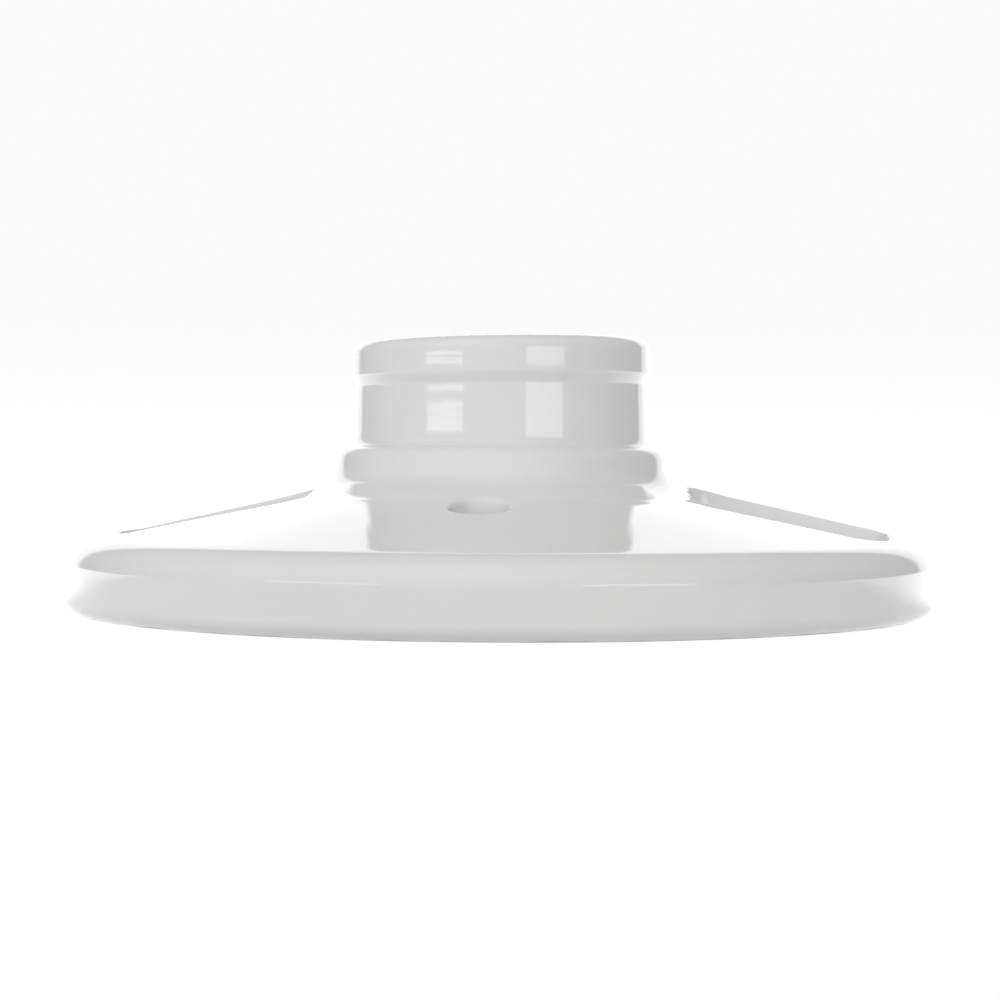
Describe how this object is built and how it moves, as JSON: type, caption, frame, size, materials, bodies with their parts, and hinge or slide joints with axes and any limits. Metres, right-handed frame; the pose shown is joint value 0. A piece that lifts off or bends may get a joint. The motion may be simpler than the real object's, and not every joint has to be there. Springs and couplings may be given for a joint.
{
  "type": "ceiling lampholder",
  "caption": "Round glazed porcelain ceiling lampholder with a short hollow neck, a screw shell and sprung contact inside, long mounting slots and a terminal base underneath.",
  "frame": {"origin": "centre of the flat foot of the base rim, on the axis of the neck", "axes": "+Z along the neck towards the lamp, +X along the two mounting slots, +Y along the two assembly screws"},
  "size_m": [0.1142, 0.1142, 0.036],
  "materials": {
    "glazed_porcelain": "gloss",
    "steatite": "matte",
    "bright_brass": "satin",
    "nickel_plated_brass": "satin",
    "zinc_plated_steel": "satin",
    "copper_rivet": "satin",
    "red_fibre": "matte"
  },
  "bodies": {
    "holder": {"porcelain_cover": "glazed_porcelain", "terminal_base": "steatite", "screw_shell": "bright_brass", "contact_rivet": "copper_rivet", "shell_rivet_live": "copper_rivet", "shell_rivet_blank": "copper_rivet", "rivet_burr": "copper_rivet", "hot_terminal": "bright_brass", "neutral_terminal": "nickel_plated_brass", "assembly_screw_front": "zinc_plated_steel", "assembly_screw_back": "zinc_plated_steel", "assembly_nut_front": "zinc_plated_steel", "assembly_nut_back": "zinc_plated_steel", "head_washer_front": "red_fibre", "head_washer_back": "red_fibre"},
    "contact_leaf": {"centre_contact": "bright_brass"},
    "hot_clamp": {"hot_washer": "bright_brass"},
    "hot_binding_screw": {"hot_screw": "bright_brass"},
    "neutral_clamp": {"neutral_washer": "nickel_plated_brass"},
    "neutral_binding_screw": {"neutral_screw": "nickel_plated_brass"}
  },
  "joints": [
    {"name": "contact_press", "type": "hinge", "parent": "holder", "child": "contact_leaf", "pos_m": [0, -0.00375, 0.01185], "axis": [-1, 0, 0], "range_deg": [0, 15], "stiffness_Nm_per_rad": 0.02, "deforming": ["centre_contact"]},
    {"name": "hot_clamp_rise", "type": "slide", "parent": "holder", "child": "hot_clamp", "axis": [0, 0, -1], "range_m": [0, 0.00198]},
    {"name": "hot_screw_turn", "type": "hinge", "parent": "hot_clamp", "child": "hot_binding_screw", "pos_m": [0, -0.022, 0.005], "axis": [0, 0, -1], "range_deg": [0, 900]},
    {"name": "neutral_clamp_rise", "type": "slide", "parent": "holder", "child": "neutral_clamp", "axis": [0, 0, -1], "range_m": [0, 0.00198]},
    {"name": "neutral_screw_turn", "type": "hinge", "parent": "neutral_clamp", "child": "neutral_binding_screw", "pos_m": [0, 0.022, 0.005], "axis": [0, 0, -1], "range_deg": [0, 900]}
  ],
  "couplings": [
    {"joint": "hot_screw_turn", "follows": "hot_clamp_rise", "rad_per_m": 7915.8},
    {"joint": "neutral_screw_turn", "follows": "neutral_clamp_rise", "rad_per_m": 7915.8}
  ]
}
